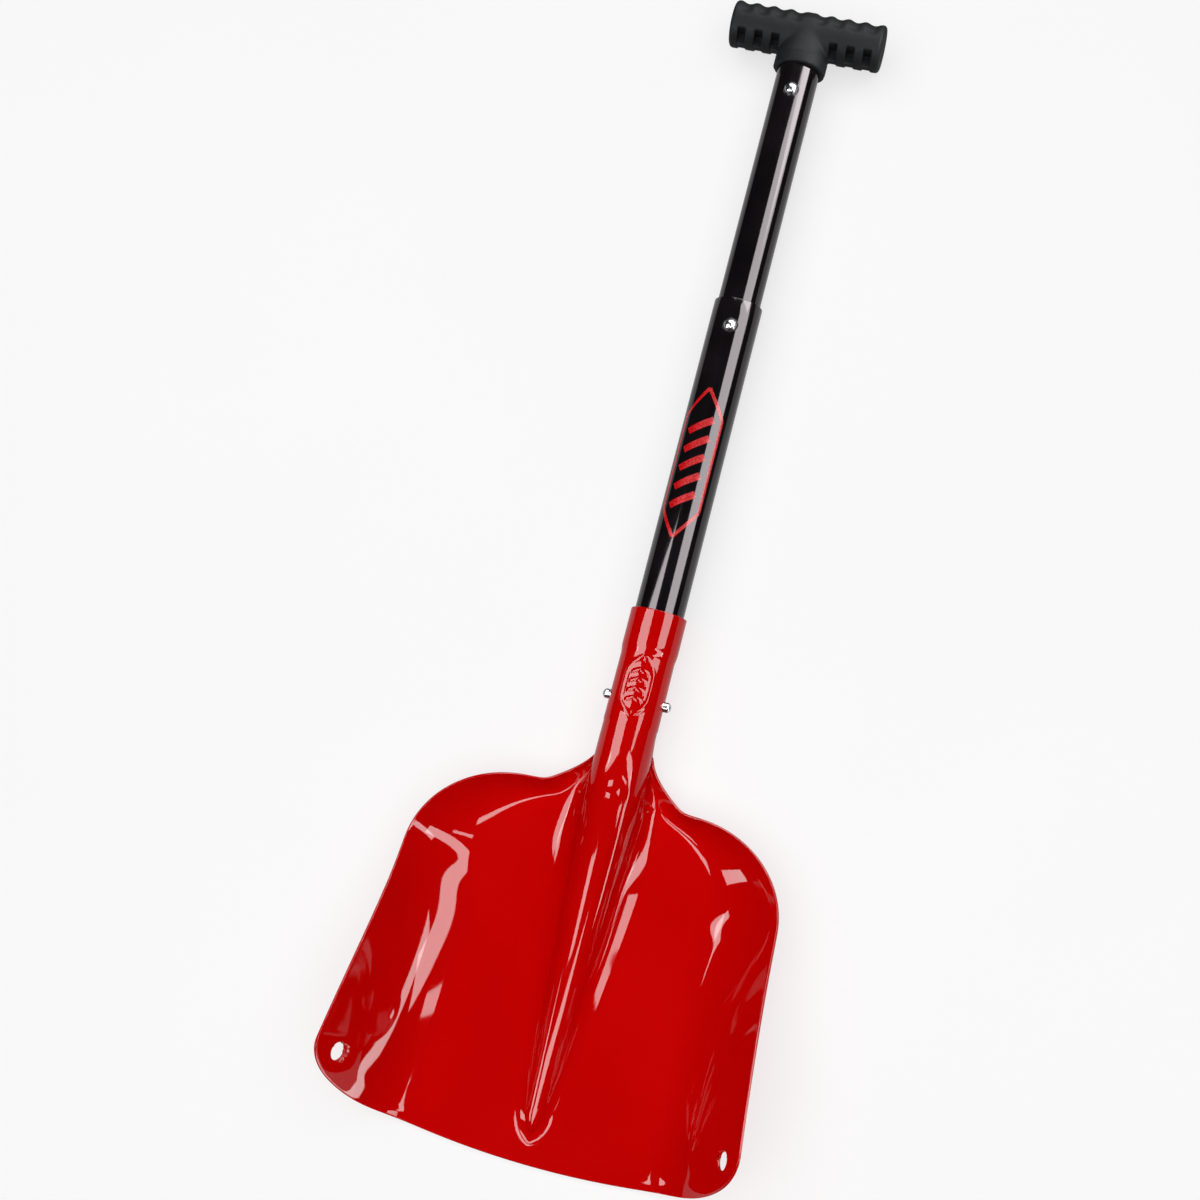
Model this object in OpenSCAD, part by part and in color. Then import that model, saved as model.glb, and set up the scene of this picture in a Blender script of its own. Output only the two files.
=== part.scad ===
// Avalanche shovel: stamped scoop blade with a rolled socket, a two-section telescoping shaft
// and a moulded T-grip. The origin is on the shaft axis at the socket's mouth, +Y runs up the
// shaft to the grip and +Z is the scoop side. The tip of the blade is on the -Y side.

/* [Blade] */
// Half width of the blade at its widest, by the tip corners
blade_half_w = 131.5; // [120:0.5:140]
// Half width of the blade below its shoulders
shoulder_half_w = 120.5; // [112:0.5:128]
// Y of the top of the shoulders
shoulder_y = -119.5; // [-125:0.5:-115]
// Y of the middle of the tip edge
tip_y = -353; // [-380:0.5:-340]
// Height that the side walls would reach over the floor at the tip, were its corners square
wall_h = 71.5; // [50:0.5:76]
// Width of the curved band that rises into the side walls
wall_band = 60; // [46:1:66]
// Depth of the floor below the shaft axis
floor_depth = 22; // [19:0.5:28]
// Thickness of the aluminium sheet
sheet_t = 1.5; // [1.2:0.1:1.6]
// Radius of the two holes in the tip corners
corner_hole_r = 5.75; // [3:0.25:7]

/* [Socket] */
// Inner radius of the rolled socket
socket_in_r = 16.1; // [16.1:0.05:16.3]
// Outer radius of the band at the mouth
mouth_r = 17.9; // [17.6:0.1:19]
// Length of the band at the mouth
mouth_len = 26; // [10:1:40]
// Length of the closed part of the socket
socket_len = 78; // [74:1:80]
// Distance from the mouth to the side buttons
latch_depth = 57; // [45:1:62]

/* [Shaft] */
// Outer radius of the lower tube
lower_r = 15.875; // [15.6:0.025:15.9]
// Y of the upper rim of the lower tube
lower_top = 210.5; // [190:0.5:230]
// How far the lower tube reaches into the socket
insert_len = 90; // [84:1:92]
// Outer radius of the upper tube
upper_r = 14; // [13.8:0.05:14]
// Travel of the telescoping shaft
travel = 166; // [120:0.5:168]
// Wall of both tubes
tube_t = 1.45; // [1.2:0.05:1.6]

/* [Grip] */
// Length of the T-bar
bar_len = 102; // [90:1:120]
// Radius of the T-bar
bar_r = 15.5; // [14:0.25:17]
// Y of the T-bar's axis
bar_y = 403; // [400:0.5:408]
// Distance between the valleys on the palm side, and between the finger slots
valley_pitch = 11.5; // [10:0.25:11.5]
// Distance from the middle of the bar to the first valley
first_valley = 8.1; // [7:0.1:8.5]

/* [Buttons] */
// Radius of the two telescope buttons
snap_r = 4.25; // [3.5:0.05:4.5]
// Radius of the two blade buttons
latch_r = 3.15; // [2.5:0.05:3.5]
// Gap round each button in its holes
button_gap = 0.3; // [0.2:0.05:0.5]

/* [Hidden] */
$fn = 64;
red = [0.78, 0.02, 0.02];
black = [0.09, 0.08, 0.09];
grey = [0.2, 0.2, 0.21];
steel = [0.8, 0.81, 0.83];

// Shaft
lower_in_r = lower_r - tube_t - 0.125;
upper_in_r = upper_r - tube_t + 0.1;
upper_bottom = 168;
upper_top = 398;
bush_lip = 2;
plug_lip = 2;
collar_y = lower_top + travel + 0.5;
collar_r = 17.5;
collar_len = 9;
neck_r = 17.2;
neck_top_r = 14.5;
valley_r = 6;
valley_depth = 1.4;
slot_w = 5.4;
slot_h = 7.5;
slot_web = 5;
rivet_y = collar_y + collar_len / 2;
rivet_r = 2.4;
rivet_head_r = 3.8;
rivet_seat_z = collar_r - 0.45;
slide_gap = 0.05;
extension_y = 192;
stow_y = extension_y + travel;
leaf_t = 0.8;
eps = 0.01;

// Blade: the middle layer of the sheet is a grid. A row runs from the crest of the centre
// ridge out to the blade's outline, and the rows follow each other from the socket to the tip.
mid_r = 17;
lap = 4;
neck_h = 13;
shoulder_share = 0.42;
arch_len = 18;
notch_x = 46;
arch_share = 0.36;
shoulder_rx = 67;
shoulder_ry = 59.5;
shoulder_cx = shoulder_half_w - shoulder_rx;
shoulder_cy = shoulder_y - shoulder_ry;
notch_angle = 97;
corner_rx = 43.5;
corner_ry = 38.5;
corner_cx = blade_half_w - corner_rx;
corner_cy = tip_y + 45.5;
corner_end = 12;
side_pow = 1.3;
wall_pow = 1.28;
floor_from = -105;
floor_to = -215;
ridge_from = -insert_len - 2;
ridge_w = 17.5;
ridge_tip_w = 5.5;
ridge_tip_h = 5;
ridge_split = 0.45;
fillet_from = -120;
fillet_to = -175;
fillet_neck = 12;
fillet_max = 26;
fillet_tip = 9;
ridge_pow = 1.2;
flank_soft = 0.75;
arch_from = -socket_len - 2;
arch_to = -88;
seam_angle = 3;
side_angle = 68;
shoulder_band = 20;
hole_in = 0.89;
hole_on = 0.57;
bow_x = corner_cx + corner_rx * sin(corner_end);
bow = corner_cy - corner_ry * cos(corner_end) - tip_y;

neck_rows = 11;
shoulder_rows = 12;
side_rows = 9;
corner_rows = 7;
tip_rows = 8;
row_1 = neck_rows;
row_2 = row_1 + shoulder_rows;
row_3 = row_2 + side_rows;
row_4 = row_3 + corner_rows;
last_row = row_4 + tip_rows;
top_cols = 5;
fillet_cols = 5;
wall_cols = 11;
foot_col = top_cols + fillet_cols;
last_col = foot_col + wall_cols;

crest_0 = -socket_len + lap;
crest_1 = shoulder_y;
crest_2 = shoulder_y - 72;
crest_3 = tip_y + 36;
crest_4 = tip_y + 26;

function lerp(a, b, t) = a + (b - a) * t;
function clamp01(t) = max(0, min(1, t));
function ease(t) = let(u = clamp01(t)) u * u * (3 - 2 * u);
function share(v, a, b) = clamp01((v - a) / (b - a));

// Where the crest of row i lies along the shovel
function crest_y(i) =
    i <= row_1 ? lerp(crest_0, crest_1, i / row_1)
    : i <= row_2 ? lerp(crest_1, crest_2, (i - row_1) / shoulder_rows)
    : i <= row_3 ? lerp(crest_2, crest_3, (i - row_2) / side_rows)
    : lerp(crest_3, crest_4, (i - row_3) / (last_row - row_3));

// The blade's outline in plan at the end of row i, past the neck
function outline(i) =
    i <= row_2 ? let(a = notch_angle * (1 - (i - row_1) / shoulder_rows))
        [shoulder_cx + shoulder_rx * cos(a), shoulder_cy + shoulder_ry * sin(a)]
    : i <= row_3 ? let(v = (i - row_2) / side_rows)
        [lerp(shoulder_half_w, blade_half_w, pow(v, side_pow)), lerp(shoulder_cy, corner_cy, v)]
    : i <= row_4 ? let(a = lerp(90, corner_end, (i - row_3) / corner_rows))
        [corner_cx + corner_rx * sin(a), corner_cy - corner_ry * cos(a)]
    : let(x = bow_x * (1 - (i - row_4) / tip_rows)) [x, tip_y + bow * pow(x / bow_x, 2)];

// From the neck to the shoulders: height of the sheet's edge over the floor, and width of the
// band that rises to it
function edge_h(i) = i <= row_1 ? neck_h * ease(i / row_1)
    : lerp(neck_h, shoulder_share * wall_h, (i - row_1) / shoulder_rows);
function band_w(i) = lerp(shoulder_band, wall_band, share(i, row_1, row_2));

// Below the shoulders the side walls are one swept shape, which the outline cuts off at the tip:
// where its outer line lies, and its height there
function side_share(y) = max(0, (shoulder_cy - y) / (shoulder_cy - corner_cy));
function side_x(y) = lerp(shoulder_half_w, blade_half_w, pow(side_share(y), side_pow));
function side_h(y) = wall_h
    * lerp(shoulder_share, 1, pow(sin(90 * min(1, side_share(y) / side_share(tip_y))), wall_pow));

// Floor level, and the section of the centre ridge along the shovel
function floor_z(y) = -lerp(mid_r, floor_depth, ease(share(y, floor_from, floor_to)));
function crest_z(y) = lerp(mid_r, ridge_tip_h - floor_depth, share(y, ridge_from, crest_4));
function ridge_b(y) = lerp(ridge_w, ridge_tip_w, pow(share(y, crest_1, crest_4), ridge_pow));
function fillet_w(y) = lerp(lerp(fillet_neck, fillet_max, ease(share(y, fillet_from, fillet_to))),
    fillet_tip, share(y, fillet_to, crest_4));
function soften(y) = flank_soft * share(y, crest_1, crest_4);

// Distance from the crest and height of column j, on the ridge's top and its fillet
function ridge_part(y, j) =
    let(b = ridge_b(y), f = fillet_w(y), k = soften(y), zf = floor_z(y), zc = crest_z(y),
        zm = lerp(zf, zc, ridge_split),
        a = 90 * (j <= top_cols ? j / top_cols : (j - top_cols) / fillet_cols))
    j <= top_cols ? [b * lerp(sin(a), a / 90, k), zm + (zc - zm) * cos(a)]
    : [b + f * lerp(1 - cos(a), a / 90, k), zm - (zm - zf) * sin(a)];

// The rolled socket's section, and the open section that it turns into
function rolled(y, j) =
    let(a = j <= top_cols ? 90 * j / top_cols
        : j <= foot_col ? 90 + side_angle * (j - top_cols) / fillet_cols
        : lerp(90 + side_angle, 180 - seam_angle, (j - foot_col) / wall_cols))
    [mid_r * sin(a), y, mid_r * cos(a)];
function openness(y) =
    let(u = share(y, arch_from, arch_from - arch_len), v = share(y, arch_to, crest_1))
    v > 0 ? lerp(arch_share, 1, pow(v, 1.7)) : arch_share * sqrt(1 - pow(1 - u, 2));

function opened(i, j) =
    let(y = crest_y(i), turn = lerp(90, 0, share(i, row_3, last_row)),
        p = ridge_part(y, min(j, foot_col)),
        foot = [p[0] * sin(turn), y - p[0] * cos(turn)],
        end = i <= row_1 ? [notch_x, y] : outline(i),
        t = (j - foot_col) / wall_cols,
        xy = lerp(foot, end, t),
        inward = i <= row_2 ? (1 - t) * norm(end - foot) / band_w(i) : (side_x(xy[1]) - xy[0]) / wall_band,
        rise = clamp01(1 - inward), h = i <= row_2 ? edge_h(i) : side_h(xy[1]))
    j <= foot_col ? [foot[0], foot[1], p[1]] : [xy[0], xy[1], floor_z(xy[1]) + h * rise * rise];

function mid(i, j) =
    let(w = i < row_1 ? openness(crest_y(i)) : 1)
    w == 1 ? opened(i, j) : lerp(rolled(crest_y(i), j), opened(i, j), w);

function flip(p) = [-p[0], p[1], p[2]];
function sheet_at(i, j) = i > last_row ? flip(mid(2 * last_row - i, j)) : mid(max(i, 0), j);
function unit(v) = v / norm(v);
function normal(i, j) =
    j == 0 ? unit([0, crest_z(crest_y(i)) - crest_z(crest_y(i) + 1), 1])
    : unit(cross(sheet_at(i, min(j + 1, last_col)) - sheet_at(i, j - 1),
        sheet_at(i - 1, j) - sheet_at(i + 1, j)));
function skin(i, side) = [for (j = [0:last_col]) mid(i, j) + normal(i, j) * side * sheet_t / 2];
function mirrored_row(r) = concat([for (j = [last_col:-1:1]) flip(r[j])], r);

row_n = 2 * last_col + 1;
layer_n = row_n * last_row + last_col + 1;
function at(i, c) = i * row_n + (i < last_row ? c + last_col : abs(c));

module blade_sheet() {
    layers = [for (side = [1, -1]) for (i = [0:last_row])
        each (i < last_row ? mirrored_row(skin(i, side)) : skin(i, side))];
    quads = [for (i = [0:last_row - 1]) for (c = [-last_col:last_col - 1])
        [at(i, c), at(i, c + 1), at(i + 1, c + 1), at(i + 1, c)]];
    rim = concat(
        [for (c = [-last_col:last_col - 1]) [at(0, c + 1), at(0, c)]],
        [for (i = [0:last_row - 1]) [at(i, -last_col), at(i + 1, -last_col)]],
        [for (i = [last_row - 1:-1:0]) [at(i + 1, last_col), at(i, last_col)]]);
    polyhedron(layers, concat(
        [for (q = quads) for (t = [[0, 1, 2], [0, 2, 3]]) [q[t[0]], q[t[1]], q[t[2]]]],
        [for (q = quads) for (t = [[0, 1, 2], [0, 2, 3]])
            [q[t[2]] + layer_n, q[t[1]] + layer_n, q[t[0]] + layer_n]],
        [for (e = rim) for (f = [[e[0], e[1], e[1] + layer_n], [e[0], e[1] + layer_n, e[0] + layer_n]]) f]));
}

// Corner holes: punched square to the sheet
hole_row = row_3 + hole_on;
hole_col = last_col - hole_in;
hole_at = mid(hole_row, hole_col);
hole_dir = normal(hole_row, hole_col);

// Turns +Z onto a direction
module aim(d) {
    rotate([0, acos(d[2]), atan2(d[1], d[0])]) children();
}

// A round bar along -Y from y = from
module along(from) {
    translate([0, from, 0]) rotate([90, 0, 0]) children();
}

module tube(from, to, r, in_r) {
    along(to) difference() {
        cylinder(r = r, h = to - from);
        translate([0, 0, -1]) cylinder(r = in_r, h = to - from + 2);
    }
}

module socket() {
    difference() {
        along(0) rotate_extrude() polygon([
            [socket_in_r, 0.6], [socket_in_r + 0.5, 0], [mouth_r - 0.3, 0], [mouth_r, 0.3],
            [mouth_r, mouth_len], [mid_r + 0.2, mouth_len + 2],
            [mid_r + 0.9, socket_len], [socket_in_r, socket_len]]);
        translate([-0.8, -socket_len - 1, -mouth_r - 1]) cube([1.6, socket_len + 2, mouth_r]);
    }
}

module blade() {
    color(red) difference() {
        union() {
            socket();
            blade_sheet();
        }
        translate([0, -latch_depth, 0]) rotate([0, 90, 0])
            cylinder(r = latch_r + button_gap, h = 3 * mid_r, center = true);
        for (s = [1, -1]) translate([s * hole_at[0], hole_at[1], hole_at[2]])
            aim([s * hole_dir[0], hole_dir[1], hole_dir[2]])
                cylinder(r = corner_hole_r, h = 14, center = true);
    }
}

module lower_shaft() {
    color(black) difference() {
        tube(-insert_len, lower_top, lower_r, lower_in_r);
        translate([0, -latch_depth, 0]) rotate([0, 90, 0])
            cylinder(r = latch_r + button_gap, h = 3 * lower_r, center = true);
        translate([0, extension_y, 0]) cylinder(r = snap_r + button_gap, h = 2 * lower_r);
    }
}

module lower_shaft_plug() {
    color(grey) {
        along(-insert_len) cylinder(r = lower_r - 0.3, h = plug_lip);
        tube(-insert_len - eps, -insert_len + 10, lower_in_r - 0.05, lower_in_r - 2.2);
    }
}

module upper_shaft() {
    color(black) difference() {
        tube(upper_bottom, upper_top, upper_r, upper_in_r);
        for (y = [extension_y, stow_y]) translate([0, y, 0])
            cylinder(r = snap_r + button_gap, h = 2 * upper_r);
        translate([0, rivet_y, -2 * upper_r]) cylinder(r = rivet_r + slide_gap, h = 2 * upper_r);
    }
}

module upper_shaft_bush() {
    color(grey) {
        tube(upper_bottom - bush_lip, upper_bottom, upper_r, upper_in_r - 2);
        tube(upper_bottom - eps, upper_bottom + 9, upper_in_r - 0.05, upper_in_r - 2);
    }
}

module bar() {
    r = bar_r;
    c = 2.5;
    h = bar_len / 2;
    translate([0, bar_y, 0]) rotate([0, 90, 0]) rotate_extrude() polygon([
        [0, -h], [r - c, -h], for (a = [15:15:90]) [r - c + c * sin(a), -h + c - c * cos(a)],
        for (a = [0:15:90]) [r - c + c * cos(a), h - c + c * sin(a)], [0, h]]);
}

module grip() {
    color(grey) difference() {
        union() {
            bar();
            along(bar_y + 5)
                cylinder(r1 = neck_top_r, r2 = neck_r, h = bar_y + 5 - collar_y - collar_len);
            along(collar_y + collar_len) rotate_extrude() polygon([
                [0, -2], [collar_r - 1.5, -2], [collar_r, 0], [collar_r, collar_len - 0.8],
                [collar_r - 0.8, collar_len], [0, collar_len]]);
        }
        along(upper_top) cylinder(r = upper_r + 0.02, h = upper_top - collar_y + 1);
        translate([0, rivet_y, -collar_r - 1]) {
            cylinder(r = rivet_r + slide_gap, h = collar_r);
            cylinder(r = rivet_head_r + 0.3, h = collar_r + 1 - rivet_seat_z);
        }
        for (s = [1, -1]) for (n = [0:3]) translate([s * (first_valley + n * valley_pitch), bar_y, 0]) {
            // palm-side valley
            rotate([0, 90, 0]) rotate([0, 0, 10]) rotate_extrude(angle = 160)
                translate([bar_r + valley_r - valley_depth, 0]) circle(r = valley_r);
            // finger-side pockets, on the front and the back of a middle web
            if (n > 0) for (t = [1, -1]) translate([0, -bar_r, t * (bar_r + slot_web / 2)])
                cube([slot_w, 2 * slot_h, 2 * bar_r], center = true);
        }
    }
}

module grip_rivet() {
    head_z = rivet_seat_z + slide_gap;
    color(steel) translate([0, rivet_y, 0]) {
        translate([0, 0, -head_z - eps]) cylinder(r = rivet_r, h = 8);
        intersection() {
            translate([0, 0, 3.2 - head_z]) sphere(r = 5.6);
            translate([0, 0, -head_z - 3]) cylinder(r = rivet_head_r, h = 3);
        }
    }
}

// A snap button: a domed pin on a thin flange, standing up from z = base to z = top
module snap(r, flange_r, base, top) {
    translate([0, 0, base]) cylinder(r = flange_r, h = 0.9);
    translate([0, 0, base]) cylinder(r = r, h = top - base - r * 0.45);
    intersection() {
        translate([0, 0, top - r * 1.336]) sphere(r = r * 1.336);
        translate([0, 0, base]) cylinder(r = r, h = top - base);
    }
}

// A V-shaped leaf spring: two legs at z = gap and z = -gap, joined by a bend at y = len
module leaf(w, gap, len) {
    bend_r = 2.4;
    lean = atan2(gap - bend_r, len - 9);
    rotate([90, 0, 90]) translate([0, 0, -w / 2]) linear_extrude(w) {
        for (s = [1, -1]) mirror([0, s < 0 ? 1 : 0]) {
            translate([-6, gap - leaf_t]) square([13, leaf_t]);
            translate([7, gap]) rotate(-lean) translate([-0.1, -leaf_t])
                square([(len - 9) / cos(lean) + 0.3, leaf_t]);
        }
        translate([len - 2, 0]) difference() {
            circle(r = bend_r + leaf_t * 0.35);
            circle(r = bend_r - leaf_t * 0.65);
            translate([-6, -4]) square([6, 8]);
        }
    }
}

snap_base = 10.4;
snap_top = 18.3;
latch_base = 12.3;
latch_top = 22.4;

module extension_button() {
    color(steel) translate([0, extension_y, 0]) snap(snap_r, 5.2, snap_base, snap_top);
}

module extension_spring() {
    color(steel) translate([0, extension_y, 0]) leaf(8, snap_base, 44);
}

module stow_button() {
    color(steel) translate([0, stow_y, 0]) snap(snap_r, 5.2, snap_base, snap_top);
}

module stow_spring() {
    color(steel) translate([0, stow_y, 0]) mirror([0, 1, 0]) leaf(8, snap_base, 44);
}

module blade_button_left() {
    color(steel) translate([0, -latch_depth, 0]) rotate([0, -90, 0])
        snap(latch_r, 4.4, latch_base, latch_top);
}

module blade_button_right() {
    color(steel) translate([0, -latch_depth, 0]) rotate([0, 90, 0]) snap(latch_r, 4.4, latch_base, latch_top);
}

module blade_spring() {
    color(steel) translate([0, -latch_depth, 0]) rotate([0, 90, 0]) leaf(7, latch_base, 44);
}

blade();
lower_shaft();
lower_shaft_plug();
upper_shaft();
upper_shaft_bush();
grip();
grip_rivet();
extension_button();
extension_spring();
stow_button();
stow_spring();
blade_button_left();
blade_button_right();
blade_spring();
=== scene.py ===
"""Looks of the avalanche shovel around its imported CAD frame. Lengths in the tables are in mm."""

import math

import bmesh
import bpy
import numpy as np
from mathutils import Matrix, Vector
from mathutils.bvhtree import BVHTree


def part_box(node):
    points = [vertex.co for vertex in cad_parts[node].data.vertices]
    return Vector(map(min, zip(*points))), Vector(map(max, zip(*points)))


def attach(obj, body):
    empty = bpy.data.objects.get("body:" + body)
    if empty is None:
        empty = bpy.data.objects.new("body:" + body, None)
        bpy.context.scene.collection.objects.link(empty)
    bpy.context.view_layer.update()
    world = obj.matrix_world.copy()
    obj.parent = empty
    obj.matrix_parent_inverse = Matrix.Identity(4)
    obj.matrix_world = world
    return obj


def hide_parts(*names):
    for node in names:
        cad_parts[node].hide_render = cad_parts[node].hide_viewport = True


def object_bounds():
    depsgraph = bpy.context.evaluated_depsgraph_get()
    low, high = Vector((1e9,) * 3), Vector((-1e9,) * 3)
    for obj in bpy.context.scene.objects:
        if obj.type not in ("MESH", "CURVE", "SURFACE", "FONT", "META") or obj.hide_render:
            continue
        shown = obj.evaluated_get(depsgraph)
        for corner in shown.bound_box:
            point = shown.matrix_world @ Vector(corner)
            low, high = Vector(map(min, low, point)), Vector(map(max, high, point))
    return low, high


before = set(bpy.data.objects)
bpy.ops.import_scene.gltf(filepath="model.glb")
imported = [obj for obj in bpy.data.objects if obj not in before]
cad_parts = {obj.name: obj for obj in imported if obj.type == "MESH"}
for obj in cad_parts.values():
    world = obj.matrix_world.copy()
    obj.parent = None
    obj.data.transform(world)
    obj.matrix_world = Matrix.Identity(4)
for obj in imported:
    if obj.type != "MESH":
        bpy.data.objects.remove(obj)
cad_box = [list(c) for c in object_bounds()]

MM = 0.001


def box_mm(node):
    low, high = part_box(node)
    return np.array(low) / MM, np.array(high) / MM


# ---------------------------------------------------------------- materials


class Nodes:
    """Short calls for building a material's nodes."""

    def __init__(self, name):
        self.material = bpy.data.materials.new(name)
        self.material.use_nodes = True
        self.tree = self.material.node_tree
        self.shader = self.tree.nodes["Principled BSDF"]
        self.place = self.add("ShaderNodeTexCoord").outputs["Object"]

    def add(self, kind):
        return self.tree.nodes.new(kind)

    def link(self, a, b):
        self.tree.links.new(a, b)

    def scaled(self, scale):
        """Object coordinates multiplied by a vector, to stretch a texture along an axis."""
        mapping = self.add("ShaderNodeMapping")
        mapping.inputs["Scale"].default_value = scale
        self.link(self.place, mapping.inputs["Vector"])
        return mapping.outputs["Vector"]

    def noise(self, scale, detail=2.0, rough=0.5, stretch=(1, 1, 1)):
        """A 0-1 noise over object coordinates."""
        node = self.add("ShaderNodeTexNoise")
        node.inputs["Scale"].default_value = scale
        node.inputs["Detail"].default_value = detail
        node.inputs["Roughness"].default_value = rough
        self.link(self.scaled(stretch), node.inputs["Vector"])
        return node.outputs["Fac"]

    def spread(self, value, low, high, frm=0.3, to=0.7):
        """A 0-1 texture value mapped to a range of numbers."""
        node = self.add("ShaderNodeMapRange")
        node.inputs["From Min"].default_value = frm
        node.inputs["From Max"].default_value = to
        node.inputs["To Min"].default_value = low
        node.inputs["To Max"].default_value = high
        self.link(value, node.inputs["Value"])
        return node.outputs["Result"]

    def colours(self, value, low, high, frm=0.3, to=0.7):
        """A 0-1 texture value mapped to the base colour."""
        ramp = self.add("ShaderNodeValToRGB")
        first, last = ramp.color_ramp.elements
        first.position, last.position = frm, to
        first.color, last.color = (*low, 1), (*high, 1)
        self.link(value, ramp.inputs["Fac"])
        self.link(ramp.outputs["Color"], self.shader.inputs["Base Color"])

    def bump(self, value, height_mm, before=None):
        """A bump of that height, on top of an earlier one if there is one."""
        node = self.add("ShaderNodeBump")
        node.inputs["Strength"].default_value = 1.0
        node.inputs["Distance"].default_value = height_mm * MM
        self.link(value, node.inputs["Height"])
        if before:
            self.link(before, node.inputs["Normal"])
        return node.outputs["Normal"]

    def set(self, **values):
        """Sets the shader's own inputs; an underscore stands for a space."""
        for key, value in values.items():
            self.shader.inputs[key.replace("_", " ")].default_value = value


def red_coat():
    m = Nodes("red_coat")
    m.colours(m.noise(9, 3), (0.56, 0.0, 0.0), (0.63, 0.001, 0.001))
    m.link(m.spread(m.noise(160, 4), 0.16, 0.26), m.shader.inputs["Roughness"])
    waves = m.bump(m.noise(22, 1.0), 0.05)
    peel = m.bump(m.noise(420, 2.0), 0.003, waves)
    m.link(peel, m.shader.inputs["Normal"])
    m.link(waves, m.shader.inputs["Coat Normal"])
    m.set(Coat_Weight=1.0, Coat_Roughness=0.03, Coat_IOR=1.5, Specular_IOR_Level=0.0)
    return m.material


def black_anodised():
    m = Nodes("black_anodised")
    lines = m.noise(700, 3, 0.6, (1, 0.012, 1))
    m.colours(m.noise(30, 4), (0.004, 0.0032, 0.004), (0.009, 0.007, 0.0085))
    m.link(m.spread(lines, 0.06, 0.12), m.shader.inputs["Roughness"])
    m.link(m.bump(lines, 0.0016), m.shader.inputs["Normal"])
    m.set(Specular_IOR_Level=0.62, Specular_Tint=(1.0, 0.88, 0.93, 1), Coat_Weight=0.35, Coat_Roughness=0.05)
    return m.material


def grip_plastic():
    m = Nodes("grip_plastic")
    m.colours(m.noise(60, 5), (0.007, 0.0075, 0.0085), (0.012, 0.0127, 0.014))
    m.link(m.spread(m.noise(900, 3), 0.50, 0.68), m.shader.inputs["Roughness"])
    soft = m.bump(m.noise(300, 3, 0.55), 0.05)
    grain = m.bump(m.noise(2600, 3, 0.6), 0.030, soft)
    m.link(grain, m.shader.inputs["Normal"])
    m.set(Specular_IOR_Level=0.2)
    return m.material


def dark_plastic():
    m = Nodes("dark_plastic")
    m.colours(m.noise(80, 4), (0.018, 0.018, 0.019), (0.028, 0.028, 0.03))
    m.link(m.spread(m.noise(500, 3), 0.35, 0.5), m.shader.inputs["Roughness"])
    m.link(m.bump(m.noise(1500, 2), 0.008), m.shader.inputs["Normal"])
    return m.material


def bright_steel():
    m = Nodes("bright_steel")
    m.colours(m.noise(500, 3), (0.70, 0.71, 0.73), (0.84, 0.85, 0.87))
    m.link(m.spread(m.noise(1800, 4), 0.20, 0.30), m.shader.inputs["Roughness"])
    m.link(m.bump(m.noise(1200, 3), 0.004), m.shader.inputs["Normal"])
    m.set(Metallic=1.0)
    return m.material


def spring_steel():
    m = Nodes("spring_steel")
    m.colours(m.noise(120, 4), (0.20, 0.21, 0.24), (0.42, 0.43, 0.46))
    m.link(m.spread(m.noise(900, 3, 0.5, (1, 0.05, 1)), 0.25, 0.42), m.shader.inputs["Roughness"])
    m.link(m.bump(m.noise(900, 3, 0.5, (1, 0.05, 1)), 0.003), m.shader.inputs["Normal"])
    m.set(Metallic=1.0)
    return m.material


def red_print():
    m = Nodes("red_print")
    m.colours(m.noise(200, 4), (0.55, 0.0, 0.002), (0.66, 0.001, 0.004))
    m.link(m.spread(m.noise(900, 3), 0.22, 0.34), m.shader.inputs["Roughness"])
    m.link(m.bump(m.noise(1500, 2), 0.003), m.shader.inputs["Normal"])
    m.set(Coat_Weight=0.5, Coat_Roughness=0.08)
    return m.material


RED, BLACK, GRIP = red_coat(), black_anodised(), grip_plastic()
PLASTIC, STEEL, SPRING, PRINT = dark_plastic(), bright_steel(), spring_steel(), red_print()


# ---------------------------------------------------------------- mesh helpers

RIM_STEPS = 3                           # steps on each quarter of a rounded sheet rim
TUBE_RIM, BLADE_RIM = 0.3, 0.32         # radius of the sheet rims
PUNCH_MARGIN, PUNCH_LIP = 1.1, 0.4      # mesh cleared round a punched hole, and the ring left in it
ON_AXIS = 1e-7                          # radius of a turned profile's point on the axis
FILLET_STEPS, FILLET_SHARE = 4, 0.45    # steps of a profile's rounded corner, and its most share of a side


def new_mesh(name, bm):
    mesh = bpy.data.meshes.new(name)
    bm.to_mesh(mesh)
    bm.free()
    return mesh


def link(obj):
    bpy.context.scene.collection.objects.link(obj)


def piece(name, made, body, node, material):
    """Links a mesh or bmesh in mm as a smooth-shaded piece, which replaces the CAD node if one is named."""
    mesh = made
    if isinstance(made, bmesh.types.BMesh):
        bmesh.ops.recalc_face_normals(made, faces=made.faces)
        mesh = new_mesh(name, made)
    mesh.transform(Matrix.Scale(MM, 4))
    mesh.polygons.foreach_set("use_smooth", [True] * len(mesh.polygons))
    mesh.materials.append(material)
    obj = bpy.data.objects.new(name, mesh)
    link(obj)
    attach(obj, body)
    if node:
        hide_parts(node)


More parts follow.
